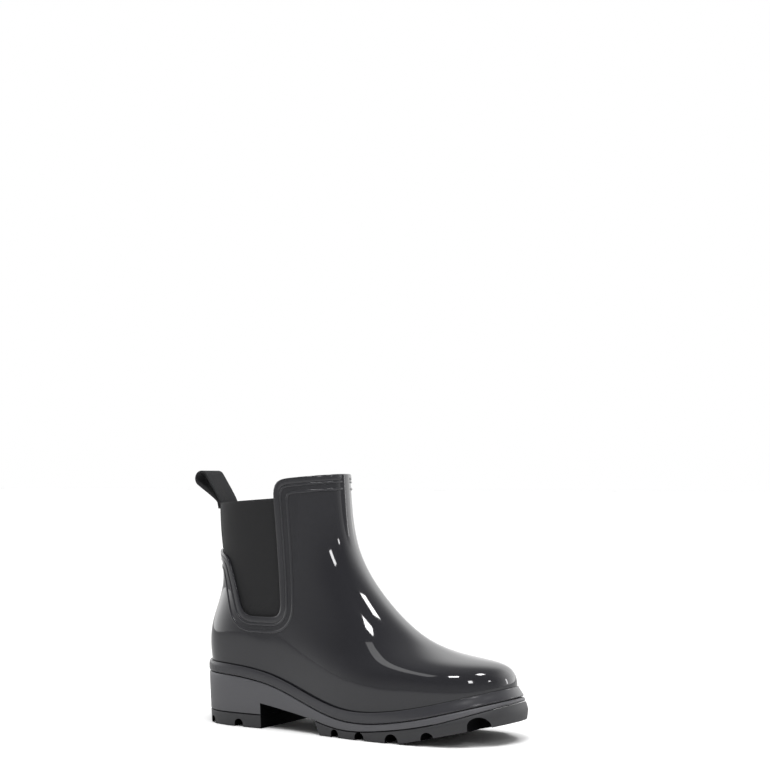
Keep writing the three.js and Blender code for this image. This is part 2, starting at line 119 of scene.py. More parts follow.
def plain(name, hex_code, roughness, **more):
    """A material with one Principled shader; returns its tree, the shader and the material."""
    material = bpy.data.materials.new(name)
    material.use_nodes = True
    tree = material.node_tree
    shader = tree.nodes["Principled BSDF"]
    shader.inputs["Base Color"].default_value = colour(hex_code)
    shader.inputs["Roughness"].default_value = roughness
    for key, value in more.items():
        shader.inputs[key.replace("_", " ")].default_value = value
    return tree, shader, material


# White paper runs under and behind the boot and to both sides, and the room behind the camera
# is dim, which is what the gloss shows.  Soft light from overhead keeps the paper white.
DIM_ROOM, BRIGHT_PAPER, SOFT_FILL, OVERHEAD = 0.42, 1.9, 0.3, 2.6


def add_world():
    world = bpy.data.worlds.new("studio")
    world.use_nodes = True
    bpy.context.scene.world = world
    tree = world.node_tree
    tree.nodes.clear()
    direction = node(tree, "ShaderNodeTexCoord").outputs["Generated"]
    away = (-math.sin(CAMERA_AZIMUTH), math.cos(CAMERA_AZIMUTH), 0)
    facing = node(tree, "ShaderNodeVectorMath", {"operation": "DOT_PRODUCT"},
                  i0=direction, i1=away).outputs["Value"]
    height = node(tree, "ShaderNodeSeparateXYZ", Vector=direction).outputs["Z"]

    # The paper's brightness by how far behind the boot it is, its falling off straight behind,
    # its end below the ceiling, and the room, which gets darker upwards.
    paper, falling_off, ceiling, room = [
        node(tree, "ShaderNodeMapRange", {"interpolation_type": "SMOOTHSTEP"}, Value=value,
             From_Min=low, From_Max=high, To_Min=start, To_Max=end)
        for value, low, high, start, end in [
            (facing, -0.45, 0.5, 0.0, BRIGHT_PAPER), (facing, 0.6, 1.0, 1.0, 0.42),
            (height, 0.45, 0.92, 1.0, 0.12), (height, -0.1, 0.6, DIM_ROOM, 0.1),
        ]
    ]
    lit = node(tree, "ShaderNodeMath", {"operation": "MULTIPLY"}, i0=paper, i1=falling_off)
    seen = node(tree, "ShaderNodeMath", {"operation": "MULTIPLY_ADD"}, i0=lit, i1=ceiling, i2=room)
    path = node(tree, "ShaderNodeLightPath")
    gloss = node(tree, "ShaderNodeMix", {"data_type": "FLOAT"}, Factor=path.outputs["Is Glossy Ray"],
                 i2=SOFT_FILL, i3=seen)
    view = node(tree, "ShaderNodeMix", {"data_type": "FLOAT"}, Factor=path.outputs["Is Camera Ray"],
                i2=gloss, i3=1.0)
    light = node(tree, "ShaderNodeBackground", Color=(1, 1, 1, 1), Strength=view)
    node(tree, "ShaderNodeOutputWorld", Surface=light.outputs[0])


add_world()
bpy.context.scene.view_settings.view_transform = "Standard"


def add_floor():
    bm = bmesh.new()
    bmesh.ops.create_grid(bm, x_segments=1, y_segments=1, size=20)
    mesh = bpy.data.meshes.new("floor")
    bm.to_mesh(mesh)
    bm.free()
    floor = bpy.data.objects.new("floor", mesh)
    floor.location.z = -0.0002
    bpy.context.scene.collection.objects.link(floor)
    tree, shader, material = plain("white_paper", "#fdfdfd", 0.9, Specular_IOR_Level=0.0)
    mesh.materials.append(material)
    # In the gloss the paper is greyer, and fades into the dim room towards the camera.
    place = node(tree, "ShaderNodeTexCoord").outputs["Object"]
    to_camera = (math.sin(CAMERA_AZIMUTH), -math.cos(CAMERA_AZIMUTH), 0)
    nearer = node(tree, "ShaderNodeVectorMath", {"operation": "DOT_PRODUCT"}, i0=place, i1=to_camera)
    grey = node(tree, "ShaderNodeMapRange", {"interpolation_type": "SMOOTHSTEP"},
                Value=nearer.outputs["Value"], From_Min=0.0, From_Max=1.6, To_Min=0.52, To_Max=0.34)
    gloss = node(tree, "ShaderNodeLightPath").outputs["Is Glossy Ray"]
    tone = node(tree, "ShaderNodeMix", {"data_type": "FLOAT"}, Factor=gloss, i2=0.98, i3=grey)
    tree.links.new(tone.outputs[0], shader.inputs["Base Color"])


add_floor()


LAMP_DISTANCE, LAMP_AIM = 2, Vector((0, 0, 0.09))


def add_light(name, kind, azimuth, elevation, **settings):
    """A lamp aimed at the boot.  Azimuth 0 is the outer side of the foot, 90 the toe."""
    a, e = math.radians(azimuth), math.radians(elevation)
    way = Vector((math.cos(e) * math.sin(a), -math.cos(e) * math.cos(a), math.sin(e)))
    light = bpy.data.lights.new(name, kind)
    for key, value in settings.items():
        setattr(light, key, value)
    lamp = bpy.data.objects.new(name, light)
    lamp.location = LAMP_AIM + way * LAMP_DISTANCE
    lamp.rotation_mode = "QUATERNION"
    lamp.rotation_quaternion = way.to_track_quat("Z", "Y")
    bpy.context.scene.collection.objects.link(lamp)
    return lamp


add_light("overhead", "SUN", 20, 80, energy=OVERHEAD, angle=math.radians(70)).visible_glossy = False
# Softboxes: azimuth, elevation, width and height in metres, brightness.
for name, azimuth, elevation, width, height, brightness in [
    ("square_softbox", 32, 62, 0.36, 0.30, 26),
    ("high_softbox", 100, 61, 0.30, 0.30, 26),
    ("side_strip", 56, 31, 0.2, 0.36, 16),
    ("toe_spot", 88, 24, 0.13, 0.13, 14),
    ("front_strip_light", 127, 9, 0.12, 0.5, 9),
    ("dim_panel", -28, 60, 0.9, 0.4, 1.7),
]:
    add_light(name, "AREA", azimuth, elevation, shape="RECTANGLE", size=width, size_y=height,
              energy=brightness * math.pi * width * height)

# ---------------------------------------------------------------- the last
# The boot is moulded on a last, a solid form in the shape of the foot.  Its lines, from the
# feather edge at the sole up to the rim, are the lines that every layer of the boot follows.
# Each row: foremost point (x, z), rearmost point (x, z), half widths at heel and forefoot,
# end radii at heel and toe, and how far the row follows the curve of the sole.
LAST = np.array([
    [125.5, 30.1, -130.5, 38.1, 31.5, 43.5, 30, 33, 1.00],
    [126.5, 39.0, -132.0, 48.5, 32.5, 44.5, 30, 33, 1.00],
    [126.0, 46.0, -133.5, 60.0, 34.5, 46.0, 31, 33, 0.95],
    [121.0, 54.5, -133.5, 71.0, 35.0, 46.0, 30, 31, 0.85],
    [104.5, 58.0, -131.5, 81.0, 34.5, 43.5, 29, 27, 0.70],
    [83.0, 60.5, -128.0, 91.0, 34.0, 39.5, 28, 23, 0.50],
    [60.0, 67.0, -124.5, 101.0, 33.5, 36.0, 27, 20, 0.30],
    [39.5, 80.5, -122.0, 112.0, 33.5, 33.5, 27, 18, 0.15],
    [21.0, 98.0, -123.0, 124.0, 34.0, 32.5, 27, 18, 0.05],
    [5.5, 116.5, -125.5, 137.0, 35.0, 33.0, 27, 19, 0],
    [-6.0, 137.0, -127.5, 151.0, 36.0, 34.0, 27, 22, 0],
    [-11.5, 163.0, -128.5, 168.0, 37.5, 35.5, 27, 24, 0],
    [-13.5, 197.0, -130.0, 197.0, 38.0, 37.0, 27, 25, 0],
])
FRONT_X, BACK_X = 0, 2
WELT_ROW = 1 / (len(LAST) - 1)
HEEL_SEAT, BALL_SEAT, TOE_RISE, TOE_SPRING, TOE_SWING = 48.5, 21.3, 20.2, 15.2, 8.0
WELT_THICKNESS = 8.5


def through_points(points):
    """A smooth curve through (x, z) points, straight beyond its ends."""
    x, z = np.array(points, float).T
    gap = np.diff(x)
    system = np.eye(len(x))
    turn = np.zeros(len(x))
    for i in range(1, len(x) - 1):
        system[i, i - 1:i + 2] = gap[i - 1], 2 * (gap[i - 1] + gap[i]), gap[i]
        turn[i] = 6 * ((z[i + 1] - z[i]) / gap[i] - (z[i] - z[i - 1]) / gap[i - 1])
    bend = np.linalg.solve(system, turn)

    def curve(at):
        at = np.asarray(at, float)
        i = np.clip(np.searchsorted(x, at) - 1, 0, len(x) - 2)
        b = (at - x[i]) / gap[i]
        a = 1 - b
        inside = (at >= x[0]) & (at <= x[-1])
        arc = ((a ** 3 - a) * bend[i] + (b ** 3 - b) * bend[i + 1]) * gap[i] ** 2 / 6
        return a * z[i] + b * z[i + 1] + np.where(inside, arc, 0)

    return curve


# Top of the welt along the boot: (x, share of the heel's climb, share of the toe's climb).
welt_top = through_points([
    (x, BALL_SEAT + heel * (HEEL_SEAT - BALL_SEAT) + toe * TOE_RISE)
    for x, heel, toe in [
        (-137, 1, 0), (-95, 0.945, 0), (-60, 0.743, 0), (-25, 0.32, 0), (10, 0, 0),
        (45, 0, 0.025), (80, 0, 0.33), (110, 0, 0.70), (137, 0, 1.03),
    ]
])


def smooth(value, low, high):
    share = np.clip((value - low) / (high - low), 0, 1)
    return share * share * (3 - 2 * share)


def last_row(t):
    """The last's row at t, from 0 at the feather edge to 1 at the rim: a cubic B-spline."""
    rows = np.vstack([2 * LAST[0] - LAST[1], LAST, 2 * LAST[-1] - LAST[-2]])
    place = np.asarray(t, float) * (len(LAST) - 1)
    i = np.clip(np.floor(place), 0, len(LAST) - 2).astype(int)
    w = (place - i)[..., None]
    weights = ((1 - w) ** 3, 3 * w ** 3 - 6 * w ** 2 + 4, -3 * w ** 3 + 3 * w ** 2 + 3 * w + 1, w ** 3)
    return sum(weight / 6 * rows[i + k] for k, weight in enumerate(weights))


def centre_line(x):
    return TOE_SWING * np.maximum(0, (x + 20) / 150) ** 2


def last_point(angle, t):
    """Millimetres. angle 0 is the centre back and pi the toe, round the outer side first."""
    row = np.moveaxis(last_row(t), -1, 0)
    front_x, front_z, back_x, back_z, heel_half, toe_half, heel_round, toe_round, follow = row
    c = (1 - np.cos(angle)) / 2
    length = front_x - back_x
    x = back_x + length * c
    ends = LAST[1][BACK_X], LAST[1][FRONT_X]
    sole_x = ends[0] + (ends[1] - ends[0]) * c
    chord = welt_top(ends[0]) + (welt_top(ends[1]) - welt_top(ends[0])) * c
    z = back_z + (front_z - back_z) * c + follow * (welt_top(sole_x) - chord)
    side = np.where(np.sin(angle) < 0, 1.0, -1.0)
    waist = np.where(side > 0, 3.0, 1.0) * follow * np.exp(-(((c - 0.4) / 0.14) ** 2))
    half = heel_half + (toe_half - heel_half) * smooth(c, 0.25, 0.7) - waist
    heel_end = np.tanh(2 * heel_round * c * length / heel_half ** 2)
    toe_end = np.tanh(2 * toe_round * (1 - c) * length / toe_half ** 2)
    y = centre_line(x) + side * half * np.sqrt(np.maximum(heel_end * toe_end, 0))
    return np.stack([x, y, z], -1)


def last_normal(angle, t):
    """Inward normal of the last's surface."""
    step = 0.002
    along = last_point(angle + step, t) - last_point(angle - step, t)
    up = last_point(angle, t + step) - last_point(angle, t - step)
    inward = np.cross(up, along)
    return inward / np.linalg.norm(inward, axis=-1, keepdims=True)


def in_layer(angle, t, depth):
    """A point of the last moved inwards by depth, in millimetres."""
    depth = np.broadcast_to(depth, np.broadcast(angle, t).shape)
    return last_point(angle, t) + last_normal(angle, t) * depth[..., None]


# ---------------------------------------------------------------- moulded upper
# The upper is PVC injected round the last in one shot and left with the polish of the mould.
# It is open above the heel counter and behind the front panel, where the elastic shows.
def cloth(columns, rows):
    """A flat grid whose points carry their place in it, u and v from 0 to 1, as a UV map."""
    bm = bmesh.new()
    bmesh.ops.create_grid(bm, x_segments=columns, y_segments=rows, size=0.5)
    flat = bm.loops.layers.uv.new("flat")
    for face in bm.faces:
        for corner in face.loops:
            corner[flat].uv = corner.vert.co.x + 0.5, corner.vert.co.y + 0.5
    bm.verts.ensure_lookup_table()
    return bm


def places(bm):
    """u and v of every point of a flat grid."""
    flat = np.array([vert.co[:2] for vert in bm.verts]) + 0.5
    return flat[:, 0], flat[:, 1]


def put(bm, points):
    """Moves every point to its place, given in millimetres from the middle of the foot."""
    for vert, point in zip(bm.verts, points):
        vert.co = ORIGIN + Vector(point) * MM


def make(name, bm, material, body, replaces=(), flat_below=35):
    """Turns a bmesh into a piece that rides on a body, if one is given."""
    bmesh.ops.remove_doubles(bm, verts=bm.verts, dist=2e-6)
    mesh = bpy.data.meshes.new(name)
    bm.to_mesh(mesh)
    bm.free()
    mesh.polygons.foreach_set("use_smooth", [True] * len(mesh.polygons))
    mesh.set_sharp_from_angle(angle=math.radians(flat_below))
    mesh.materials.append(material)
    piece = bpy.data.objects.new(name, mesh)
    bpy.context.scene.collection.objects.link(piece)
    if body:
        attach(piece, body)
    if replaces:
        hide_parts(*replaces)
    return piece


def thicken(piece, thickness, round_edge=0, segments=3):
    """Gives a sheet its wall, inwards from the face that is modelled, and rounds its edges."""
    wall = piece.modifiers.new("wall", "SOLIDIFY")
    wall.thickness, wall.offset = thickness * MM, -1
    wall.use_even_offset = False
    if round_edge:
        edge = piece.modifiers.new("edge", "BEVEL")
        edge.width, edge.segments, edge.limit_method = round_edge * MM, segments, "ANGLE"
        edge.angle_limit = math.radians(50)
        edge.harden_normals = False
    return piece


FAR, SKY = 190, 330  # beyond the boot's ends and its top
GORE_BOTTOM, GORE_FRONT, GORE_BACK = 85, (-50, -57.5), (-86, -103)
COUNTER_FRONT_Z, COUNTER_BACK_Z = 130, 137
RIM_FRONT_Z, RIM_BACK_Z = 194.5, 190
counter_slope = (COUNTER_BACK_Z - COUNTER_FRONT_Z) / (GORE_BACK[1] - LAST[-1][BACK_X])
rim_slope = (RIM_FRONT_Z - RIM_BACK_Z) / (LAST[-1][FRONT_X] - GORE_FRONT[1])
# Corners of the opening seen from the side, counterclockwise: x, z and the corner's radius.
WINDOW = [
    (-FAR, COUNTER_FRONT_Z + (GORE_BACK[1] + FAR) * counter_slope, 0),
    (GORE_BACK[1], COUNTER_FRONT_Z, 6),
    (GORE_BACK[0], GORE_BOTTOM, 9),
    (GORE_FRONT[0], GORE_BOTTOM, 9),
    (GORE_FRONT[1], RIM_BACK_Z, 11),
    (FAR, RIM_BACK_Z + (FAR - GORE_FRONT[1]) * rim_slope, 0),
    (FAR, SKY, 0),
    (-FAR, SKY, 0),
]


def outline(corners, grow=0.0):
    """The rounded outline as a chain of points, with every edge moved outwards by grow."""
    points = np.array([corner[:2] for corner in corners], float)
    ahead = np.roll(points, -1, 0) - points
    normal = np.stack([ahead[:, 1], -ahead[:, 0]], -1) / np.linalg.norm(ahead, axis=1)[:, None]
    before = np.roll(normal, 1, 0)
    moved = points + (before + normal) * grow / (1 + (before * normal).sum(1))[:, None]
    chain = []
    for i, (_, _, radius) in enumerate(corners):
        corner = moved[i]
        if radius == 0:
            chain.append(corner)
            continue
        sides = np.array([moved[i - 1], moved[(i + 1) % len(moved)]]) - corner
        back, on = corner + sides / np.linalg.norm(sides, axis=1)[:, None] * radius
        for w in np.linspace(0, 1, 13):
            chain.append((1 - w) ** 2 * back + 2 * w * (1 - w) * corner + w * w * on)
    return np.array(chain)


def outside(points, chain):
    """Distance in the side view from an outline, negative inside it."""
    x, z = points[:, 0], points[:, 2]
    best = np.full(len(x), 1e9)
    inside = np.zeros(len(x), bool)
    for (ax, az), (bx, bz) in zip(chain, np.roll(chain, -1, 0)):
        dx, dz = bx - ax, bz - az
        w = np.clip(((x - ax) * dx + (z - az) * dz) / (dx * dx + dz * dz), 0, 1)
        best = np.minimum(best, np.hypot(x - ax - w * dx, z - az - w * dz))
        crosses = (az > z) != (bz > z)
        with np.errstate(divide="ignore", invalid="ignore"):
            inside ^= crosses & (x < (bx - ax) * (z - az) / (bz - az) + ax)
    return np.where(inside, -best, best)


def trim(bm, form, distance):
    """Cuts a grid that form(u, v) puts in place along the line where distance(points) is 0.
    Points next to the line slide along the surface onto it; what lies below 0 goes."""
    u, v = places(bm)
    off = distance(form(u, v))
    slide = set()
    for edge in bm.edges:
        a, b = edge.verts[0].index, edge.verts[1].index
        if off[a] * off[b] < 0:
            slide.add(a if abs(off[a]) < abs(off[b]) else b)
    on = np.array(sorted(slide), int)
    step = 1e-4
    for _ in range(6):
        here = distance(form(u[on], v[on]))
        base = form(u[on], v[on])
        du = (form(u[on] + step, v[on]) - base) / step
        dv = (form(u[on], v[on] + step) - base) / step
        slope_u = (distance(form(u[on] + step, v[on])) - here) / step
        slope_v = (distance(form(u[on], v[on] + step)) - here) / step
        size_u = (du ** 2).sum(1)
        size_v = (dv ** 2).sum(1)
        scale = slope_u ** 2 / size_u + slope_v ** 2 / size_v + 1e-12
        u[on] -= np.clip(here * slope_u / size_u / scale, -0.01, 0.01)
        v[on] -= np.clip(here * slope_v / size_v / scale, -0.01, 0.01)
    off = distance(form(u, v))
    off[on] = 0
    flat = bm.loops.layers.uv["flat"]
    for index in on:
        vert = bm.verts[index]
        vert.co.x, vert.co.y = u[index] - 0.5, v[index] - 0.5
        for corner in vert.link_loops:
            corner[flat].uv = u[index], v[index]
    for face in list(bm.faces):
        signs = [off[vert.index] for vert in face.verts]
        if min(signs) < 0 < max(signs):
            corners = [vert for vert in face.verts if off[vert.index] == 0]
            if len(corners) == 2:
                bmesh.utils.face_split(face, corners[0], corners[1])
    gone = []
    for face in bm.faces:
        signs = [off[vert.index] for vert in face.verts]
        if min(signs) < 0:
            gone.append(face)
    bmesh.ops.delete(bm, geom=gone, context="FACES")
    bm.verts.ensure_lookup_table()


UPPER_AROUND, UPPER_UP = 300, 130  # faces round and up
SHELL_WALL = 2.2
FEATHER_LEVEL = 0.018  # the upper's lower edge, just above the seat of the sole


def round_and_up(depth):
    """Puts a grid round the last, u from the centre back and v from the feather to the rim."""
    return lambda u, v: in_layer(2 * np.pi * u, FEATHER_LEVEL + (1 - FEATHER_LEVEL) * v, depth)


def cut_from_last(columns, rows, depth, distance):
    """A layer of the boot round the last, cut where distance(points) is 0."""
    form = round_and_up(depth)
    bm = cloth(columns, rows)
    trim(bm, form, distance)
    put(bm, form(*places(bm)))
    bmesh.ops.remove_doubles(bm, verts=bm.verts, dist=5e-6)
    bmesh.ops.recalc_face_normals(bm, faces=bm.faces)
    return bm


opening = outline(WINDOW)


def from_opening(points):
    return outside(points, opening)


# Polished PVC: a smooth skin with the faint waves of a soft moulding, and almost no grain.
def gloss_pvc():
    tree, shader, material = plain("polished_black_pvc", "#232326", 0.06, IOR=1.5,
                                   Coat_Weight=0.3, Coat_Roughness=0.03)
    place = node(tree, "ShaderNodeTexCoord").outputs["Object"]
    waves = node(tree, "ShaderNodeTexNoise", Vector=place, Scale=26.0, Detail=2.0, Roughness=0.45)
    skin = node(tree, "ShaderNodeBump", Strength=0.16, Distance=0.0016, Height=waves.outputs["Fac"])
    tree.links.new(skin.outputs["Normal"], shader.inputs["Normal"])
    tree.links.new(skin.outputs["Normal"], shader.inputs["Coat Normal"])
    return material


GLOSS = gloss_pvc()
upper = make("moulded_upper", cut_from_last(UPPER_AROUND, UPPER_UP, 0.0, from_opening),
             GLOSS, "boot", ["upper_shell"], flat_below=60)
thicken(upper, SHELL_WALL, round_edge=0.7)

# ---------------------------------------------------------------- ribs moulded on the upper
# A full edge and two fine ribs follow the opening right round.  They are moulded in one with
# the upper, so they have its finish.
# How far each lies in from the edge, its half width and how far it stands up.
RIBS = {"rolled_edge": (2.2, 2.4, 0.5), "first_rib": (5.8, 1.0, 0.6), "second_rib": (11.2, 1.1, 0.7)}
RIB_STEP, RIB_ROUND = 1.6, 14  # length of a face, and faces round the bead


def line_round_opening(distance):
    """u and v along the line at a distance from the opening, from the centre back right round."""
    form = round_and_up(0.0)
    bm = cloth(UPPER_AROUND, UPPER_UP)
    trim(bm, form, lambda points: from_opening(points) - distance)
    u, v = places(bm)
    off = np.abs(from_opening(form(u, v)) - distance)
    line = {vert.index for vert in bm.verts if vert.is_boundary and off[vert.index] < 0.01}
    here = min(line, key=lambda index: u[index])
    chain = [here]
    while here is not None:
        line.discard(here)
        ahead = [edge.other_vert(bm.verts[here]).index for edge in bm.verts[here].link_edges
                 if edge.is_boundary]
        here = next((index for index in ahead if index in line), None)
        if here is not None:
            chain.append(here)
    bm.free()
    return u[chain], v[chain]


def rib(distance, half_width, height):
    """A closed half-sunk bead along that line."""
    form = round_and_up(0.0)
    u, v = line_round_opening(distance)
    way = np.concatenate([[0], np.cumsum(np.linalg.norm(np.diff(form(u, v), axis=0), axis=1))])
    count = int(way[-1] / RIB_STEP)
    even = np.linspace(0, way[-1], count + 1)
    u, v = np.interp(even, way, u), np.interp(even, way, v)
    for _ in range(6):  # takes the grid's small steps out of the line
        v[1:-1] = (v[:-2] + 2 * v[1:-1] + v[2:]) / 4
        u[1:-1] = (u[:-2] + 2 * u[1:-1] + u[2:]) / 4
    u[0], u[-1], v[-1] = 0, 1, v[0]
    centre = form(u, v)
    out = form(u, v) - round_and_up(1.0)(u, v)
    along = np.gradient(centre, axis=0)
    along[0] = along[-1] = along[0] * (0, 1, 0)
    aside = np.cross(out, along)
    aside /= np.linalg.norm(aside, axis=1, keepdims=True)
    bm = cloth(count, RIB_ROUND)
    grid_u, grid_v = places(bm)
    at = np.rint(grid_u * count).astype(int)
    turn = 2 * np.pi * grid_v
    put(bm, centre[at] + aside[at] * (half_width * np.cos(turn))[:, None]
        + out[at] * (height * np.sin(turn))[:, None])
    bmesh.ops.remove_doubles(bm, verts=bm.verts, dist=2e-6)
    bmesh.ops.recalc_face_normals(bm, faces=bm.faces)
    return bm


# The same PVC, but their sharp turn blurs what they mirror, so it is a little rougher.
# Its colour, a little lighter than the upper's, is a painted highlight that draws the ribs as light lines.
RIB_GLOSS = plain("rib_pvc", "#27272a", 0.2, IOR=1.5, Coat_Weight=0.3, Coat_Roughness=0.12)[2]
for name, (distance, half_width, height) in RIBS.items():
    make(name, rib(distance, half_width, height), RIB_GLOSS, "boot", flat_below=80)

# ---------------------------------------------------------------- front strip
# A smooth raised strip runs down the front from the rim over the ends of the ribs, and dies
# away on the instep.
STRIP_WIDTH, STRIP_HEIGHT, STRIP_FOOT_Z = 14.0, 1.2, 132.0


def level(angle, z):
    """t of the last's surface at a height."""
    low, high = np.zeros(np.shape(z)), np.ones(np.shape(z))
    for _ in range(30):
        middle = (low + high) / 2
        under = last_point(angle, middle)[..., 2] < z
        low, high = np.where(under, middle, low), np.where(under, high, middle)
    return low


def round_the_end(end, width, t):
    """Angle at a distance along the surface from the centre back (0) or the centre front (pi)."""
    fan = np.linspace(-0.9, 0.9, 241)
    arc = last_point(end + fan, np.full(fan.shape, t))
    way = np.concatenate([[0], np.cumsum(np.linalg.norm(np.diff(arc, axis=0), axis=1))])
    way -= np.interp(0, fan, way)
    return end + np.interp(width, way, fan)


def front_strip():
    bm = cloth(16, 50)
    u, v = places(bm)
    side = 2 * u - 1
    foot = level(np.pi, np.array(STRIP_FOOT_Z))
    fade = smooth(v, 0.0, 0.8)
    raised = STRIP_HEIGHT * (1 - smooth(np.abs(side), 0.45, 1.0)) * fade - 0.06
    angle = round_the_end(np.pi, side * STRIP_WIDTH / 2, 0.9)
    top = level(angle, np.full(angle.shape, RIM_FRONT_Z - 0.35))
    put(bm, in_layer(angle, foot + (top - foot) * v, -raised))
    bmesh.ops.recalc_face_normals(bm, faces=bm.faces)
    return bm


strip = make("front_strip", front_strip(), GLOSS, "boot", flat_below=80)
thicken(strip, 1.0, round_edge=0.3)

# ---------------------------------------------------------------- welt
# A moulded band joins the upper to the sole: a lip stands off the upper at its top, its face
# is slightly round, and a groove parts it from the sole.
OVERHANG = np.array([[-0.15, -0.4, 6.6], [0.3, 1.0, 8.0], [0.7, 2.0, 4.6], [1.15, 2.6, 1.5]])
# Profile: height above the seat, share of the overhang at the heel and at the toe, and
# millimetres proud of it.  The band stands square at the heel and slopes out at the toe.
WELT_PROFILE = [
    (7.0, 0, 0, -0.4), (7.9, 0.04, 0.0, 0.15), (8.45, 0.30, 0.12, 0.3), (8.6, 0.60, 0.25, 0.3),
    (7.9, 0.85, 0.33, 0.1), (6.8, 1, 0.47, 0.1), (4.4, 1, 0.74, 0.3), (2.2, 1, 0.92, 0.25), (1.2, 1, 1, 0),
    (0.75, 1, 1, -0.35), (0.45, 1, 1, -0.9), (0.4, 0, 0, -0.3), (3.6, 0, 0, -0.3),
]
spring = through_points([(x, share * TOE_SPRING) for x, share in [
    (40, 0), (60, 0.02), (78, 0.27), (95, 0.52), (113, 0.78), (137, 1.1)]])


def underside(x):
    return np.where(x < 40, 0, np.maximum(spring(x), 0))


def seat(x):
    return welt_top(x) - WELT_THICKNESS


def sole_edge(angle, height, proud=0.0, heel_share=1.0, toe_share=1.0):
    """A point of the sole's wall at height(x), proud of it by so many millimetres.  The shares
    are how much of the overhang it has at the heel and at the toe."""
    c = (1 - np.cos(angle)) / 2
    blend = smooth(c, 0.62, 1)
    t = np.full(np.shape(angle), WELT_ROW)
    point = last_point(angle, t)
    for _ in range(4):
        x = point[..., 0]
        low = underside(x)
        share = (height(x) - low) / (welt_top(x) - low)
        heel, toe = (np.interp(share, OVERHANG[:, 0], OVERHANG[:, k]) for k in (1, 2))
        reach = heel * heel_share * (1 - blend) + toe * toe_share * blend
        point = in_layer(angle, t, -(reach + proud))
    point[..., 2] = height(point[..., 0])
    return point


def smooth_profile(profile, closed=True):
    """Rounds a profile's corners by cutting each one off twice."""
    points = np.array(profile, float)
    ahead = np.roll(points, -1, 0) if closed else points[1:]
    here = points if closed else points[:-1]
    cut = np.empty((2 * len(here), points.shape[1]))
    cut[0::2], cut[1::2] = 0.75 * here + 0.25 * ahead, 0.25 * here + 0.75 * ahead
    return cut if closed else np.vstack([points[:1], cut, points[-1:]])


# The band comes from the mould less polished than the upper, so lamps blur in it.
def half_gloss_pvc():
    tree, shader, material = plain("half_gloss_pvc", "#323235", 0.24, IOR=1.5)
    place = node(tree, "ShaderNodeTexCoord").outputs["Object"]
    grains = node(tree, "ShaderNodeTexNoise", Vector=place, Scale=700.0, Detail=2.0)
    skin = node(tree, "ShaderNodeBump", Strength=0.15, Distance=0.0002, Height=grains.outputs["Fac"])
    tree.links.new(skin.outputs["Normal"], shader.inputs["Normal"])
    return material


def welt():
    profile = smooth_profile(WELT_PROFILE)
    profile = np.vstack([profile, profile[:1]])
    columns, rows = 260, len(profile) - 1
    bm = cloth(columns, rows)
    u, v = places(bm)
    lift, heel_share, toe_share, proud = profile[np.rint(v * rows).astype(int)].T
    put(bm, sole_edge(2 * np.pi * u, lambda x: seat(x) + lift, proud, heel_share, toe_share))
    bmesh.ops.remove_doubles(bm, verts=bm.verts, dist=2e-6)
    bmesh.ops.recalc_face_normals(bm, faces=bm.faces)
    return bm


make("welt", welt(), half_gloss_pvc(), "boot", ["welt_band"], flat_below=60)

# ---------------------------------------------------------------- sole
# The sole and the heel block are one moulding of softer PVC with a satin skin.  Its wall
# flares at the toe, and the underside is free of the floor between the heel and the tread.
HEEL_BREAST_X, TREAD_BACK_X, TREAD_BACK_SLANT = -69, -16, 4
HEEL_LIFT_HEIGHT, WAIST_CLEARANCE, SEAM = 10, 18.7, 0.3
side_wall = through_points([(-16, 8.6), (13, 6.9), (40, 5.6), (92, 5.6), (127, 3.6)])


def tread_top(x):
    return seat(x) - side_wall(x)


def waist_under(x):
    share = (x - HEEL_BREAST_X) / (TREAD_BACK_X - HEEL_BREAST_X)
    return WAIST_CLEARANCE + (tread_top(TREAD_BACK_X) + SEAM - WAIST_CLEARANCE) * share


def angle_at(x):
    """Angle of the sole's outline at x."""
    return float(np.arccos(1 - 2 * (x - LAST[1][BACK_X]) / (LAST[1][FRONT_X] - LAST[1][BACK_X])))


def slab(columns, rows, edge, under, over, profile):
    """A solid with the sole's outline.  edge(angle, height, proud) gives its wall, the profile
    is (share of the height from under to over, millimetres up, millimetres proud), and the
    faces under and over it run straight across from the outer to the inner side."""
    half = np.asarray(columns)
    angles = np.concatenate([half, 2 * np.pi - half[::-1][1:]])
    zone = np.concatenate([rows, rows[::-1][1:]])
    profile = np.array(profile, float)
    inwards = (0.0, 0.3, 0.65)
    total = len(profile) + 2 * len(inwards)
    bm = cloth(len(angles) - 1, total - 1)
    u, v = places(bm)
    i, j = np.rint(u * (len(angles) - 1)).astype(int), np.rint(v * (total - 1)).astype(int)
    ring = np.clip(j - len(inwards), 0, len(profile) - 1)
    share, up, proud = profile[ring].T

    def height(x):
        low, high = under(x, zone[i]), over(x)
        return low + (high - low) * share + up

    wall = edge(angles[i], height, proud)
    other = edge(angles[len(angles) - 1 - i], height, proud)
    reach = np.ones(len(j))
    for k, part in enumerate(inwards):
        reach[(j == k) | (j == total - 1 - k)] = part
    middle = (wall + other) / 2
    point = middle + (wall - middle) * reach[:, None]
    point[:, 2] = height(point[:, 0])
    put(bm, point)
    bmesh.ops.remove_doubles(bm, verts=bm.verts, dist=2e-6)
    if bm.calc_volume(signed=True) < 0:
        bmesh.ops.reverse_faces(bm, faces=bm.faces)
    return bm


def round_edges(radius, steps=4):
    """Profile of a slab's wall with both its edges rounded."""
    bend = np.linspace(0, np.pi / 2, steps)
    foot = [(0, radius * (1 - np.sin(a)), -radius * (1 - np.cos(a))) for a in bend[::-1]]
    head = [(1, -radius * (1 - np.sin(a)), -radius * (1 - np.cos(a))) for a in bend]
    return foot + [(share, 0, 0) for share in (0.25, 0.5, 0.75)] + head


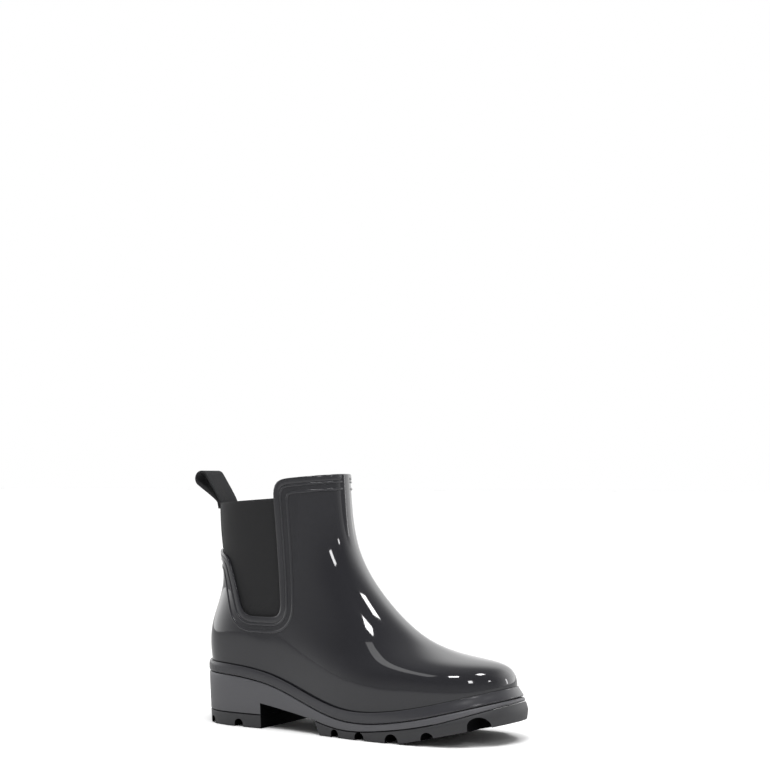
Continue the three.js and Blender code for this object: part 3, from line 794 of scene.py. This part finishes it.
def sole_columns():
    half = np.linspace(0, np.pi, 121)
    breast, back = angle_at(HEEL_BREAST_X), angle_at(TREAD_BACK_X)
    half = half[(np.abs(half - breast) > 0.012) & (np.abs(half - back) > 0.012)]
    half = np.sort(np.concatenate([half, [breast] * 2, [back] * 2]))
    zone = np.zeros(len(half), int)
    zone[np.flatnonzero(half == breast)[1]:] = 1
    zone[np.flatnonzero(half == back)[1]:] = 2
    return half, zone


def sole_under(x, zone):
    heel = np.full(np.shape(x), HEEL_LIFT_HEIGHT + SEAM / 2)
    return np.where(zone == 0, heel, np.where(zone == 1, waist_under(x), tread_top(x) + SEAM))


# Satin PVC: dark grey, the mould blasted to a fine even grain that spreads the light.
def satin_pvc(name, hex_code, roughness, grain):
    """grain is its size in millimetres."""
    tree, shader, material = plain(name, hex_code, roughness, IOR=1.5)
    place = node(tree, "ShaderNodeTexCoord").outputs["Object"]
    grains = node(tree, "ShaderNodeTexNoise", Vector=place, Scale=1 / (grain * MM), Detail=3.0,
                  Roughness=0.55)
    skin = node(tree, "ShaderNodeBump", Strength=0.35, Distance=0.0002, Height=grains.outputs["Fac"])
    tree.links.new(skin.outputs["Normal"], shader.inputs["Normal"])
    patches = node(tree, "ShaderNodeTexNoise", Vector=place, Scale=35.0, Detail=2.0)
    scuff = node(tree, "ShaderNodeMapRange", Value=patches.outputs["Fac"], From_Min=0.3, From_Max=0.7,
                 To_Min=roughness - 0.06, To_Max=roughness + 0.06)
    tree.links.new(scuff.outputs[0], shader.inputs["Roughness"])
    return material


SATIN = satin_pvc("satin_grey_pvc", "#4b4b4e", 0.4, 0.9)
# The faces under the waist, on the heel's breast and inside the notches are painted nearly black and dull.
# This is painted shade for the deep shadow they lie in.
BREAST_DEPTH = 6
PAINTED_SHADE = plain("painted_shade_underside", "#060607", 0.9, Specular_IOR_Level=0.05)[2]


def paint_shade_under(piece):
    """Paints the faces that look down or forward over the floor nearly black, as painted shade."""
    piece.data.materials.append(PAINTED_SHADE)
    for face in piece.data.polygons:
        from_breast = abs(face.center.x - ORIGIN.x - HEEL_BREAST_X * MM)
        breast = face.normal.x > 0.6 and from_breast < BREAST_DEPTH * MM
        if breast or face.normal.z < -0.6:
            face.material_index = 1


columns, zones = sole_columns()
paint_shade_under(make("sole", slab(columns, zones, sole_edge, sole_under, seat, round_edges(1.1)),
                  SATIN, "boot", ["sole_unit"], flat_below=40))

# ---------------------------------------------------------------- tread and top lift
# Harder rubber wears against the floor: a tread under the forefoot and a lift under the heel.
# Arched notches run in from their edges to a rib along the middle.
HEEL_NOTCHES = [(-119, 6, 5.5), (-90, 8, 6)]
TREAD_NOTCHES = [(3, 7, 6), (26, 8, 6), (54, 11, 7), (83, 10, 5), (117, 13, 9)]
NOTCH_RIB = 20


def notch_cutters(notches):
    bm = bmesh.new()
    for x, width, height in notches:
        for side in (-1, 1):
            foot, middle = float(underside(np.array(float(x)))), float(centre_line(np.array(float(x))))
            made = bmesh.ops.create_circle(bm, cap_ends=True, segments=28, radius=width / 2)
            face = made["verts"][0].link_faces[0]
            for vert in made["verts"]:
                across, up = vert.co.x, vert.co.y
                drop = 10 + foot if up < -1e-6 else 0
                vert.co = x + across, middle + side * NOTCH_RIB, foot + height - width / 2 + up - drop
            deep = bmesh.ops.extrude_face_region(bm, geom=[face])
            tips = [item for item in deep["geom"] if isinstance(item, bmesh.types.BMVert)]
            bmesh.ops.translate(bm, verts=tips, vec=(0, side * 60, 0))
    for vert in bm.verts:
        vert.co = ORIGIN + vert.co * MM
    bmesh.ops.recalc_face_normals(bm, faces=bm.faces)
    # The cutters' faces take the second slot, so the insides of the notches get the painted shade.
    for face in bm.faces:
        face.material_index = 1
    return bm


def cut_away(bm, cutter):
    """The first solid less the second, as a new bmesh.  Each keeps its material indices."""
    pair = []
    for name, solid in (("solid", bm), ("cutter", cutter)):
        mesh = bpy.data.meshes.new(name)
        solid.to_mesh(mesh)
        solid.free()
        for _ in range(2):
            mesh.materials.append(None)
        pair.append(bpy.data.objects.new(name, mesh))
        bpy.context.scene.collection.objects.link(pair[-1])
    less = pair[0].modifiers.new("less", "BOOLEAN")
    less.operation, less.object, less.solver = "DIFFERENCE", pair[1], "EXACT"
    shape = bpy.data.meshes.new_from_object(pair[0].evaluated_get(bpy.context.evaluated_depsgraph_get()))
    result = bmesh.new()
    result.from_mesh(shape)
    for piece in pair:
        mesh = piece.data
        bpy.data.objects.remove(piece)
        bpy.data.meshes.remove(mesh)
    bpy.data.meshes.remove(shape)
    return result


def cut_flat(bm, point, normal):
    """Cuts a solid square off and closes the cut; what lies on the normal's side goes."""
    whole = bm.verts[:] + bm.edges[:] + bm.faces[:]
    cut = bmesh.ops.bisect_plane(bm, geom=whole, plane_co=ORIGIN + Vector(point) * MM,
                                 plane_no=normal, clear_outer=True, dist=1e-6)
    rim = [item for item in cut["geom_cut"] if isinstance(item, bmesh.types.BMEdge)]
    bmesh.ops.holes_fill(bm, edges=rim)


TREAD_RUBBER = satin_pvc("tread_rubber", "#2e2e30", 0.5, 0.7)
half_round = np.linspace(0, np.pi, 121)
one_zone = np.zeros(121, int)

tread = slab(half_round, one_zone, sole_edge, lambda x, zone: underside(x), tread_top, round_edges(0.6))
cut_flat(tread, (TREAD_BACK_X + TREAD_BACK_SLANT, 0, 0), (-tread_top(TREAD_BACK_X), 0, -TREAD_BACK_SLANT))
tread = make("forefoot_tread_piece", cut_away(tread, notch_cutters(TREAD_NOTCHES)),
             TREAD_RUBBER, "boot", ["forefoot_tread"])
paint_shade_under(tread)

lift = slab(half_round, one_zone, sole_edge, lambda x, zone: np.zeros(np.shape(x)),
            lambda x: np.full(np.shape(x), HEEL_LIFT_HEIGHT - SEAM / 2), round_edges(0.6))
cut_flat(lift, (HEEL_BREAST_X, 0, 0), (1, 0, 0))
lift = make("heel_lift_piece", cut_away(lift, notch_cutters(HEEL_NOTCHES)),
            TREAD_RUBBER, "boot", ["heel_top_lift"])
paint_shade_under(lift)

# ---------------------------------------------------------------- elastic side panels
# Woven elastic is let in at both sides and meets under the tape at the centre back.  It runs
# 8 mm under the edge of the upper, and its free edge at the top is turned in and stitched.
GORE_MARGIN, GORE_TOP, LINING_DEPTH, LINING_WALL = 8, (171, 176), 2.5, 1.2
ELASTIC_RIB, ELASTIC_PICK = 1.0, 0.7  # millimetres
CLOTH_GRID = 200, 120  # faces round and up
front_lean = (GORE_FRONT[1] - GORE_FRONT[0]) / (RIM_BACK_Z - GORE_BOTTOM)
ELASTIC = WINDOW[:4] + [(GORE_FRONT[0] + (SKY - GORE_BOTTOM) * front_lean, SKY, 0), (-FAR, SKY, 0)]


def gore_top(x):
    share = (x - LAST[-1][BACK_X]) / (GORE_FRONT[1] - LAST[-1][BACK_X])
    return GORE_TOP[0] + (GORE_TOP[1] - GORE_TOP[0]) * share


def map_cloth(bm, rule):
    """Rewrites the UV map in millimetres, by a rule on a corner's old place and its point."""
    flat = bm.loops.layers.uv["flat"]
    for face in bm.faces:
        for corner in face.loops:
            corner[flat].uv = rule(corner[flat].uv, corner.vert.co / MM)
    return bm


def lay_flat(bm, t):
    """Maps a cloth along the row at t, and up."""
    fan = np.linspace(-0.02, 2 * np.pi + 0.02, 700)
    ring = last_point(fan, np.full(fan.shape, t))
    way = np.concatenate([[0], np.cumsum(np.linalg.norm(np.diff(ring, axis=0), axis=1))])
    return map_cloth(bm, lambda uv, point: (np.interp(2 * np.pi * uv[0], fan, way), point.z))


def elastic_panel(side):
    border = outline(ELASTIC, GORE_MARGIN)
    sign = -1 if side == "outer" else 1

    def inside(points):
        return np.minimum.reduce([-outside(points, border), gore_top(points[:, 0]) - points[:, 2],
                                  sign * points[:, 1] - 0.15])

    return lay_flat(cut_from_last(*CLOTH_GRID, LINING_DEPTH, inside), 0.8)


def relief(tree, shader, height, strength, depth, shade, dark, light):
    """Raises a material by a height and mixes its two colours by a shade, hollows dark. In the cloths this is
    painted shade in the hollows and painted light on the ridges; in the speckled solids it is their own
    spots.
    """
    bump = node(tree, "ShaderNodeBump", Strength=strength, Distance=depth * MM, Height=height)
    tree.links.new(bump.outputs["Normal"], shader.inputs["Normal"])
    mixed = node(tree, "ShaderNodeMix", {"data_type": "RGBA"}, Factor=shade)
    mixed.inputs["A"].default_value, mixed.inputs["B"].default_value = colour(dark), colour(light)
    tree.links.new(mixed.outputs["Result"], shader.inputs["Base Color"])


# Blender's waves repeat every tau / 20 of their scale, so this over a width in millimetres gives
# one wave to that width.
WAVE = math.tau / 20


# Woven elastic: matt polyester over rubber threads, so the ribs stand up the panel and the
# picks cross them; the fibre ends catch the light at a low angle.
def woven_elastic():
    tree, shader, material = plain("woven_elastic", "#2a2a2b", 0.85, Specular_IOR_Level=0.25,
                                   Sheen_Weight=0.08, Sheen_Roughness=0.4)
    flat = node(tree, "ShaderNodeUVMap", {"uv_map": "flat"}).outputs["UV"]
    ribs = node(tree, "ShaderNodeTexWave", {"bands_direction": "X"}, Vector=flat,
                Scale=WAVE / ELASTIC_RIB, Distortion=0.4, Detail=1.0)
    picks = node(tree, "ShaderNodeTexWave", {"bands_direction": "Y"}, Vector=flat,
                 Scale=WAVE / ELASTIC_PICK, Distortion=0.6, Detail=1.0)
    weave = node(tree, "ShaderNodeMath", {"operation": "MULTIPLY_ADD"}, i0=picks.outputs["Fac"], i1=0.5,
                 i2=ribs.outputs["Fac"])
    # The weave's hollows are painted darker than its ribs: painted shade.
    relief(tree, shader, weave, 0.5, 0.25, weave, "#19191a", "#262627")
    return material


ELASTIC_CLOTH = woven_elastic()
for side, gore in (("outer", "gore_lateral"), ("inner", "gore_medial")):
    panel = make(side + "_elastic", elastic_panel(side), ELASTIC_CLOTH, "boot", [gore])
    thicken(panel, LINING_WALL - 0.2)

# ---------------------------------------------------------------- tape at the centre back
# A cotton tape covers the seam where the two elastic panels meet, one layer outside and one
# inside, from the top of the heel counter to the panels' free edge.
TAPE_WIDTH, TAPE_THICKNESS, TAPE_TOP, TWILL = 24, 1.5, 171, 1.1  # twill: mm between its ridges


def tape_layer(depth, foot_z):
    bm = cloth(28, 40)
    u, v = places(bm)
    angle = round_the_end(0.0, -(u - 0.5) * TAPE_WIDTH, 0.85)
    low, high = foot_z(last_point(angle, level(angle, np.full(u.shape, 135.0)))[:, 0]), TAPE_TOP
    z = low + (high - low) * v
    soft_edge = 0.35 * smooth(np.abs(2 * u - 1), 0.86, 1.0)
    put(bm, in_layer(angle, level(angle, z), depth + soft_edge))
    bmesh.ops.recalc_face_normals(bm, faces=bm.faces)
    return map_cloth(bm, lambda uv, point: (uv[0] * TAPE_WIDTH, point.z))


# Cotton herringbone twill, dyed black: matt, with slanting ridges that turn at the middle.
def cotton_tape():
    tree, shader, material = plain("black_cotton_twill", "#19191a", 0.9, Specular_IOR_Level=0.2,
                                   Sheen_Weight=0.06, Sheen_Roughness=0.5)
    flat = node(tree, "ShaderNodeUVMap", {"uv_map": "flat"}).outputs["UV"]
    split = node(tree, "ShaderNodeSeparateXYZ", Vector=flat)
    middle = node(tree, "ShaderNodeMath", {"operation": "SUBTRACT"}, i0=split.outputs["X"], i1=TAPE_WIDTH / 2)
    folded = node(tree, "ShaderNodeMath", {"operation": "ABSOLUTE"}, i0=middle)
    slant = node(tree, "ShaderNodeMath", {"operation": "ADD"}, i0=folded, i1=split.outputs["Y"])
    line = node(tree, "ShaderNodeCombineXYZ", X=slant)
    ridges = node(tree, "ShaderNodeTexWave", {"bands_direction": "X"}, Vector=line,
                  Scale=WAVE / TWILL, Distortion=0.3)
    fluff = node(tree, "ShaderNodeTexNoise", Vector=flat, Scale=3.0, Detail=3.0)
    height = node(tree, "ShaderNodeMath", {"operation": "MULTIPLY_ADD"}, i0=fluff.outputs["Fac"], i1=0.5,
                  i2=ridges.outputs["Fac"])
    # The twill's ridges are painted lighter than its furrows: painted light and shade.
    relief(tree, shader, height, 0.6, 0.3, ridges.outputs["Fac"], "#1b1b1c", "#2d2d2f")
    return material


TWILL_TAPE = cotton_tape()


def counter_line(x):
    return COUNTER_FRONT_Z + (GORE_BACK[1] - x) * counter_slope


OUTER_TAPE_DEPTH, INNER_TAPE_DEPTH = LINING_DEPTH - SEAM - TAPE_THICKNESS, LINING_DEPTH + LINING_WALL + SEAM
back_tape = make("back_tape_piece", tape_layer(OUTER_TAPE_DEPTH, lambda x: counter_line(x) + SEAM),
                 TWILL_TAPE, "boot", ["back_tape"])
thicken(back_tape, TAPE_THICKNESS, round_edge=0.25)
inner_tape = make("inner_tape_piece", tape_layer(INNER_TAPE_DEPTH, lambda x: np.full(x.shape, 137.0)),
                  TWILL_TAPE, "boot", ["inner_tape"])
thicken(inner_tape, TAPE_THICKNESS, round_edge=0.25)

# ---------------------------------------------------------------- pull loop
# The same tape, doubled into a loop to pull the boot on by.  Its two ends go down between the
# two layers at the centre back and are sewn in there, and it leans back.
loop_joint = next(joint for joint in frame["joints"] if joint["name"] == "pull_loop_hinge")
LOOP_ROOT, LOOP_REACH, LOOP_END, LOOP_LEAN, LOOP_THICKNESS, LOOP_WIDTH = 2, 25.5, 6.4, 46, 1.5, 23


def loop_path():
    """The middle of the tape's thickness, from its sewn outer end round to its inner one."""
    hinge = (Vector(loop_joint["pos_m"]) - ORIGIN) / MM
    lean = math.radians(LOOP_LEAN)
    root = np.array([hinge.x, hinge.z])
    up = np.array([-math.sin(lean), math.cos(lean)])
    forward = np.array([math.cos(lean), math.sin(lean)])

    def sewn(depth, z):
        t = level(np.array(0.0), np.array(float(z)))
        return in_layer(np.array(0.0), t, depth + TAPE_THICKNESS / 2)[[0, 2]]

    reach = LOOP_END - LOOP_THICKNESS / 2
    slant = math.asin((reach - LOOP_ROOT / 2) / LOOP_REACH)
    turn = np.linspace(-slant, math.pi + slant, 15)[:, None]
    end = root + up * LOOP_REACH + reach * (np.sin(turn) * up - np.cos(turn) * forward)
    outer = [sewn(OUTER_TAPE_DEPTH + 1.0, TAPE_TOP - 4), sewn(OUTER_TAPE_DEPTH + 0.5, TAPE_TOP - 1),
             root - forward + up * 1.5]
    inner = [root + forward + up * 1.5, sewn(INNER_TAPE_DEPTH - 0.5, TAPE_TOP - 1),
             sewn(INNER_TAPE_DEPTH - 1.0, TAPE_TOP - 4)]
    return smooth_profile(smooth_profile(np.vstack([outer, end, inner]), closed=False), closed=False)


def pull_loop_tape():
    path = loop_path()
    way = np.concatenate([[0], np.cumsum(np.linalg.norm(np.diff(path, axis=0), axis=1))])
    rows = int(way[-1] / 0.7)
    bm = cloth(24, rows)
    u, v = places(bm)
    along = v * way[-1]
    across = (u - 0.5) * LOOP_WIDTH
    put(bm, np.stack([np.interp(along, way, path[:, 0]), across, np.interp(along, way, path[:, 1])], -1))
    bmesh.ops.recalc_face_normals(bm, faces=bm.faces)
    return map_cloth(bm, lambda uv, point: (uv[0] * TAPE_WIDTH, uv[1] * way[-1]))


loop = make("pull_loop_tape", pull_loop_tape(), TWILL_TAPE, None, ["pull_loop"], flat_below=60)
thicken(loop, LOOP_THICKNESS, round_edge=0.3).modifiers["wall"].offset = 0
hinge_point = Vector(loop_joint["pos_m"])
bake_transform(loop)

# ---------------------------------------------------------------- lining
# A knitted sock lines the moulded upper up to just under its rim.  It is cut in two, with a
# seam at each side where the vamp's part meets the heel's, and stops round the elastic.
LINING_TRIM, LINING_SEAM_X, BOARD_TOP = 1.5, -68, 2.6
KNIT_WALE, KNIT_COURSE = 1.4, 1.0  # millimetres between stitches


def lining(side_of_seam):
    border = outline(ELASTIC, GORE_MARGIN + SEAM)

    def kept(points):
        x, z = points[:, 0], points[:, 2]
        clear = np.maximum(outside(points, border), z - gore_top(x) - SEAM)
        return np.minimum.reduce([from_opening(points) - LINING_TRIM, z - seat(x) - BOARD_TOP, clear,
                                  side_of_seam * (x - LINING_SEAM_X) - SEAM / 2])

    return lay_flat(cut_from_last(*CLOTH_GRID, LINING_DEPTH, kept), 0.5)


# Polyester jersey: matt and slightly hairy, with columns of small V-shaped stitches.
def knitted_jersey():
    tree, shader, material = plain("knitted_jersey", "#48484a", 0.95, Specular_IOR_Level=0.15,
                                   Sheen_Weight=0.5, Sheen_Roughness=0.5)
    flat = node(tree, "ShaderNodeUVMap", {"uv_map": "flat"}).outputs["UV"]
    wales = node(tree, "ShaderNodeTexWave", {"bands_direction": "X"}, Vector=flat,
                 Scale=WAVE / KNIT_WALE, Distortion=0.2)
    courses = node(tree, "ShaderNodeTexWave", {"bands_direction": "Y"}, Vector=flat,
                   Scale=WAVE / KNIT_COURSE, Distortion=1.2, Detail=1.0)
    stitch = node(tree, "ShaderNodeMath", {"operation": "MULTIPLY_ADD"}, i0=courses.outputs["Fac"], i1=0.6,
                  i2=wales.outputs["Fac"])
    # The hollows between the stitches are painted darker: painted shade.
    relief(tree, shader, stitch, 0.7, 0.4, stitch, "#2c2c2e", "#4a4a4c")
    return material


JERSEY = knitted_jersey()
for name, side_of_seam, cad, flat_size, area in (
    ("vamp_lining_piece", 1, "vamp_lining", (0.317, 0.178), 0.0387),
    ("heel_lining_piece", -1, "heel_lining", (0.158, 0.0883), 0.0095),
):
    sock = make(name, lining(side_of_seam), JERSEY, "boot", [cad])
    thicken(sock, LINING_WALL - 0.1)

# ---------------------------------------------------------------- insole board, shank, core
# Hidden under the footbed: a fibre board, a spring steel shank under the waist, and a light
# foamed core that keeps the heel block from being solid.  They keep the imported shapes.


def speckled(name, dark, light, roughness, spot, **more):
    """A material of two shades mixed in spots of a size in millimetres."""
    tree, shader, material = plain(name, light, roughness, **more)
    place = node(tree, "ShaderNodeTexCoord").outputs["Object"]
    spots = node(tree, "ShaderNodeTexNoise", Vector=place, Scale=1 / (spot * MM), Detail=4.0,
                 Roughness=0.6).outputs["Fac"]
    relief(tree, shader, spots, 0.4, 0.3, spots, dark, light)
    return material


FIBRE_BOARD = speckled("pressed_fibre_board", "#6f5b43", "#8f7858", 0.85, 1.5)
SPRING_STEEL = speckled("rolled_spring_steel", "#7d8085", "#989ba0", 0.35, 3.0, Metallic=1.0)
FOAMED_CORE = speckled("foamed_core", "#a49d8f", "#c4bdaf", 0.7, 2.0)
for cad, material in (("insole_board", FIBRE_BOARD), ("shank", SPRING_STEEL), ("heel_core", FOAMED_CORE)):
    solid = frame["nodes"][cad]
    solid.data.materials.clear()
    solid.data.materials.append(material)

# ---------------------------------------------------------------- footbed
# A loose insole of moulded foam, with a jersey cover glued on, lies on the board and lifts
# out from the heel.
FOOTBED_DEPTH, FOAM_THICKNESS, COVER_THICKNESS, FOAM_FOOT = 4.7, 5, 1, 2.6


def footbed_edge(angle, height, proud=0.0):
    """A point of the footbed's rim, inside the lining, at height(x)."""
    t = np.full(np.shape(angle), WELT_ROW)
    for _ in range(4):
        point = in_layer(angle, t, FOOTBED_DEPTH - proud)
        t = level(angle, height(point[..., 0]))
    point = in_layer(angle, t, FOOTBED_DEPTH - proud)
    point[..., 2] = height(point[..., 0])
    return point


def foam_under(x, zone):
    return seat(x) + FOAM_FOOT + SEAM / 2


def foam_over(x):
    return seat(x) + FOAM_FOOT + FOAM_THICKNESS


EVA_FOAM = speckled("moulded_eva_foam", "#5a5a5d", "#6c6c70", 0.9, 0.8)
foam = make("footbed_foam_piece",
            slab(half_round, one_zone, footbed_edge, foam_under, foam_over, round_edges(1.2)),
            EVA_FOAM, "footbed", ["footbed_foam"])
cover_form = slab(half_round, one_zone, footbed_edge, lambda x, zone: foam_over(x) + SEAM / 3,
                  lambda x: foam_over(x) + SEAM + COVER_THICKNESS, round_edges(0.5))
cover = make("footbed_cover_piece", map_cloth(cover_form, lambda uv, point: (point.x, point.y)),
             JERSEY, "footbed", ["footbed_cover"])
